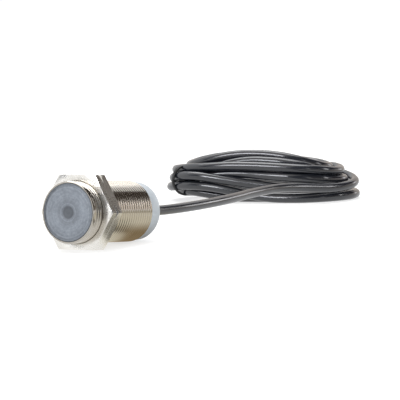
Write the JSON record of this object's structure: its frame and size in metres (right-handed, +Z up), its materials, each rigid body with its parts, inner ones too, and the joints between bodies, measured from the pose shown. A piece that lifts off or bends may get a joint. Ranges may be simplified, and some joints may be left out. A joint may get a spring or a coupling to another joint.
{
  "type": "inductive proximity sensor",
  "caption": "Cylindrical inductive proximity sensor: threaded metal barrel, flush plastic sensing face, thin hexagon lock nuts, moulded cable wound into a tied hank.",
  "frame": {"origin": "on the resting surface, under the middle of the sensor's length from the rim to the tip of the cable nose", "axes": "+Y runs level from the sensing face towards the cable, +Z is up, +X is to the right seen from behind; the barrel's axis falls 4.8 degrees towards the cable, because the sensor leans on the rear nut and on the barrel's back edge"},
  "size_m": [0.1216, 0.2996, 0.0366],
  "materials": {
    "barrel_nickel": "satin nickel plating on a turned and threaded brass barrel",
    "nut_nickel": "bright nickel plating on brass",
    "face_plastic": "blue-grey moulded plastic, fine satin",
    "seal_rubber": "black rubber",
    "shield_brass": "bare brass strip",
    "ferrite": "dark grey pressed ferrite",
    "bobbin_plastic": "ivory moulded plastic",
    "copper": "enamelled copper wire",
    "board": "green solder resist",
    "chip_black": "black moulding",
    "capacitor_tan": "tan ceramic",
    "diode_glass": "reddish glass",
    "lamp_yellow": "yellow lens",
    "resin": "dark casting resin",
    "cap_plastic": "pale translucent plastic",
    "grommet_rubber": "dark soft plastic",
    "cable_jacket": "charcoal jacket, satin",
    "core_brown": "brown insulation",
    "core_blue": "blue insulation",
    "core_black": "black insulation",
    "tie_black": "black coated wire"
  },
  "bodies": {
    "sensor": {"barrel": "barrel_nickel", "sensing_face": "face_plastic", "face_seal": "seal_rubber", "shield_ring": "shield_brass", "ferrite_core": "ferrite", "coil_bobbin": "bobbin_plastic", "coil_winding": "copper", "coil_leads": "copper", "circuit_board": "board", "oscillator_chip": "chip_black", "output_transistor": "chip_black", "capacitors": "capacitor_tan", "resistors": "chip_black", "protection_diodes": "diode_glass", "indicator_led": "lamp_yellow", "potting_compound": "resin", "end_cap": "cap_plastic", "cap_seal": "seal_rubber", "cable_grommet": "grommet_rubber", "cable_entry": "cable_jacket", "wire_brown": "core_brown", "wire_blue": "core_blue", "wire_black": "core_black", "cable_lead": "cable_jacket", "cable_hank": "cable_jacket", "hank_tie": "tie_black", "cable_tail": "cable_jacket", "core_brown": "core_brown", "core_blue": "core_blue", "core_black": "core_black"},
    "front_nut": {"front_nut": "nut_nickel"},
    "rear_nut": {"rear_nut": "nut_nickel"}
  },
  "joints": [
    {"name": "front_nut_slide", "type": "slide", "parent": "sensor", "child": "front_nut", "axis": [0, -0.9965, 0.0841], "range_m": [0, 0.00725]},
    {"name": "rear_nut_slide", "type": "slide", "parent": "sensor", "child": "rear_nut", "axis": [0, 0.9965, -0.0841], "range_m": [0, 0.035]}
  ]
}
